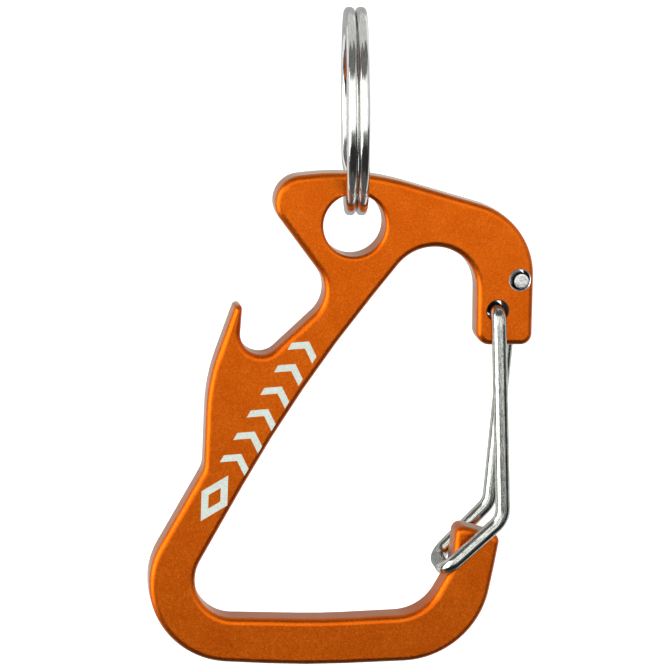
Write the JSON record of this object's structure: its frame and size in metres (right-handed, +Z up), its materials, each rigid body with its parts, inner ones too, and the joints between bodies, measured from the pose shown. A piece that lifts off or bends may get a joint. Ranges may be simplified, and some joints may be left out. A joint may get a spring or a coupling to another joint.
{
  "type": "carabiner keyring",
  "caption": "Flat metal carabiner with a bottle opener in its spine and a sprung wire gate, hanging from a split key ring.",
  "frame": {"origin": "inner top of the split ring, where the part hangs", "axes": "+Z up as it hangs, +X to the right as the front face is seen, +Y from the front face to the back"},
  "size_m": [0.0622, 0.0324, 0.1067],
  "materials": {
    "anodised_plate": "satin orange anodised aluminium with a fine blasted grain and bright rounded edges",
    "gate_steel": "drawn stainless spring wire with fine lengthwise marks and scuffs",
    "ring_nickel": "bright nickel plated steel",
    "mark_ink": "thin matt pale green ink"
  },
  "bodies": {
    "key_ring": {"split_ring": "ring_nickel"},
    "carabiner": {"plate": "anodised_plate", "printed_mark": "mark_ink"},
    "gate": {"gate_wire": "gate_steel", "gate_spring_leg": "gate_steel"}
  },
  "joints": [
    {"name": "ring_swing", "type": "hinge", "parent": "key_ring", "child": "carabiner", "pos_m": [0, 0, -0.0198], "axis": [0.9914, -0.1305, 0], "range_deg": [-80, 80]},
    {"name": "gate_opening", "type": "hinge", "parent": "carabiner", "child": "gate", "pos_m": [0.02255, 0, -0.0457], "axis": [0, 1, 0], "range_deg": [0, 28], "stiffness_Nm_per_rad": 0.2, "springref_deg": -22.92, "deforming": ["gate_spring_leg"]}
  ]
}
